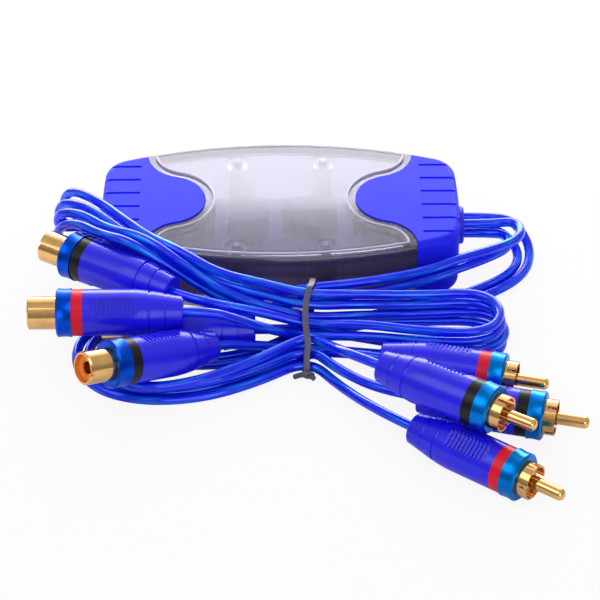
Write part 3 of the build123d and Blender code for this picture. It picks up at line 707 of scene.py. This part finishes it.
class ISOLATOR_OT_studio(bpy.types.Operator):
    """Adds the pale floor, the white surroundings and soft lamps"""
    bl_idname = "isolator.studio"
    bl_label = "Studio"

    def execute(self, context):
        settings = context.scene.isolator_studio
        bpy.ops.object.select_all(action="DESELECT")
        bpy.ops.mesh.primitive_plane_add(size=floor_size, location=(0, 0, 0))
        floor = context.object
        floor.name = "studio_floor"
        material, tree = new_material("Matt white paper")
        paper = add_node(tree, "ShaderNodeBsdfDiffuse", Color=tuple(settings.floor), Roughness=0.5)
        glow = add_node(tree, "ShaderNodeEmission", Color=full_white, Strength=1.0)
        path = add_node(tree, "ShaderNodeLightPath")
        seen = add_node(
            tree, "ShaderNodeMath", {"operation": "MAXIMUM"}, _0=path.outputs["Is Camera Ray"],
            _1=path.outputs["Is Transmission Ray"],
        )
        amount = add_node(
            tree, "ShaderNodeMath", {"operation": "MULTIPLY"}, _0=seen.outputs[0], _1=floor_glow
        )
        mix = add_node(
            tree, "ShaderNodeMixShader", Fac=amount.outputs[0], _1=paper.outputs[0],
            _2=glow.outputs[0],
        )
        add_node(tree, "ShaderNodeOutputMaterial", Surface=mix.outputs[0])
        floor.data.materials.append(material)

        world = bpy.data.worlds.new("Soft white room")
        context.scene.world = world
        world.use_nodes = True
        tree = world.node_tree
        tree.nodes.clear()
        path = add_node(tree, "ShaderNodeLightPath")
        backdrop = add_node(tree, "ShaderNodeBackground", Color=full_white, Strength=1.0)
        # Bright overhead and behind, dim low down on the camera's side, as in a studio
        way = add_node(tree, "ShaderNodeTexCoord").outputs["Generated"]
        parts = add_node(tree, "ShaderNodeSeparateXYZ", Vector=way)
        back = add_node(
            tree, "ShaderNodeMath", {"operation": "MULTIPLY_ADD"}, _0=parts.outputs["Y"], _1=0.45,
            _2=parts.outputs["Z"],
        )
        light = add_node(
            tree, "ShaderNodeMapRange", Value=back.outputs[0], From_Min=0.05, From_Max=0.55,
            To_Min=0.28, To_Max=0.59,
        )
        room = add_node(
            tree, "ShaderNodeBackground", Color=full_white, Strength=light.outputs[0]
        )
        mix = add_node(
            tree, "ShaderNodeMixShader", Fac=path.outputs["Is Camera Ray"], _1=room.outputs[0],
            _2=backdrop.outputs[0],
        )
        add_node(tree, "ShaderNodeOutputWorld", Surface=mix.outputs[0])

        for name, place, size, power in lamps:
            turn = (Vector(lamp_aim) - Vector(place)).to_track_quat("-Z", "Y").to_euler()
            bpy.ops.object.light_add(type="AREA", location=place, rotation=turn)
            lamp = context.object
            lamp.name = name + "_softbox"
            lamp.data.size = size
            lamp.data.energy = settings.lamp * power

        # A low card of light close behind the box, which only the back of the lid mirrors
        bpy.ops.object.light_add(type="AREA", location=card_place, rotation=card_turn)
        card = context.object
        card.name = "back_card"
        card.data.shape = "RECTANGLE"
        card.data.size = card_width
        card.data.size_y = card_height
        card.data.energy = settings.card
        card.visible_camera = False
        context.scene.view_settings.view_transform = "Standard"
        return {"FINISHED"}


class ISOLATOR_PT_panel(bpy.types.Panel):
    """Lists the isolator's settings and the operators that build it"""
    bl_idname = "ISOLATOR_PT_panel"
    bl_label = "Ground loop isolator"
    bl_space_type = "VIEW_3D"
    bl_region_type = "UI"
    bl_category = "Isolator"

    def draw(self, context):
        column = self.layout.column()
        for name, group in groups.items():
            settings = getattr(context.scene, name)
            for key in group.__annotations__:
                column.prop(settings, key)
        for operator in operators:
            column.operator(operator.bl_idname)


operators = (
    ISOLATOR_OT_camera,
    ISOLATOR_OT_leads,
    ISOLATOR_OT_housing,
    ISOLATOR_OT_insides,
    ISOLATOR_OT_connectors,
    ISOLATOR_OT_tie,
    ISOLATOR_OT_studio,
)


def register():
    for group in groups.values():
        bpy.utils.register_class(group)
    for name, group in groups.items():
        setattr(bpy.types.Scene, name, bpy.props.PointerProperty(type=group))
    for operator in operators:
        bpy.utils.register_class(operator)
    bpy.utils.register_class(ISOLATOR_PT_panel)


def unregister():
    bpy.utils.unregister_class(ISOLATOR_PT_panel)
    for operator in reversed(operators):
        bpy.utils.unregister_class(operator)
    for name in groups:
        delattr(bpy.types.Scene, name)
    for group in reversed(list(groups.values())):
        bpy.utils.unregister_class(group)


def main():
    register()
    bpy.ops.isolator.camera()
    bpy.ops.isolator.leads()
    bpy.ops.isolator.housing()
    bpy.ops.isolator.insides()
    bpy.ops.isolator.connectors()
    bpy.ops.isolator.tie()
    bpy.ops.isolator.studio()


if __name__ == "__main__":
    main()
